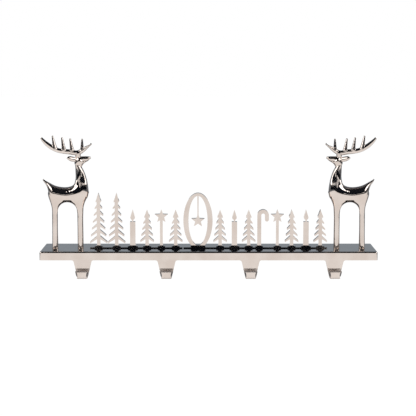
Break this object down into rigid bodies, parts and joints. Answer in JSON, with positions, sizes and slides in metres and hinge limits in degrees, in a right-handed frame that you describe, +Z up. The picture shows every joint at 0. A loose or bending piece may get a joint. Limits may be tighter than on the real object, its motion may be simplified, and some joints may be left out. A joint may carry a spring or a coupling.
{
  "type": "mantel stocking holder",
  "caption": "Polished metal shelf for a mantel's edge with hooks below for stockings; reindeer and a row of cut-out trees, candles, canes and stars stand on it",
  "frame": {"origin": "middle of the felt lining's lower face, where the holder rests on the mantel", "axes": "+X along the shelf to the viewer's right, -Y out into the room, +Z up"},
  "size_m": [0.5614, 0.1048, 0.2341],
  "materials": {
    "polished_nickel": "polished, nickel plated casting",
    "zinc_plated_steel": "zinc plated",
    "felt": "felt"
  },
  "bodies": {
    "root": {"mantel_shelf": "polished_nickel", "reindeer_left": "polished_nickel", "reindeer_right": "polished_nickel", "ornament_row_left": "polished_nickel", "ornament_row_right": "polished_nickel", "deer_screw_1": "zinc_plated_steel", "deer_screw_2": "zinc_plated_steel", "deer_screw_3": "zinc_plated_steel", "deer_screw_4": "zinc_plated_steel", "row_screw_1": "zinc_plated_steel", "row_screw_2": "zinc_plated_steel", "row_screw_3": "zinc_plated_steel", "row_screw_4": "zinc_plated_steel", "row_screw_5": "zinc_plated_steel", "felt_lining": "felt"}
  },
  "joints": []
}
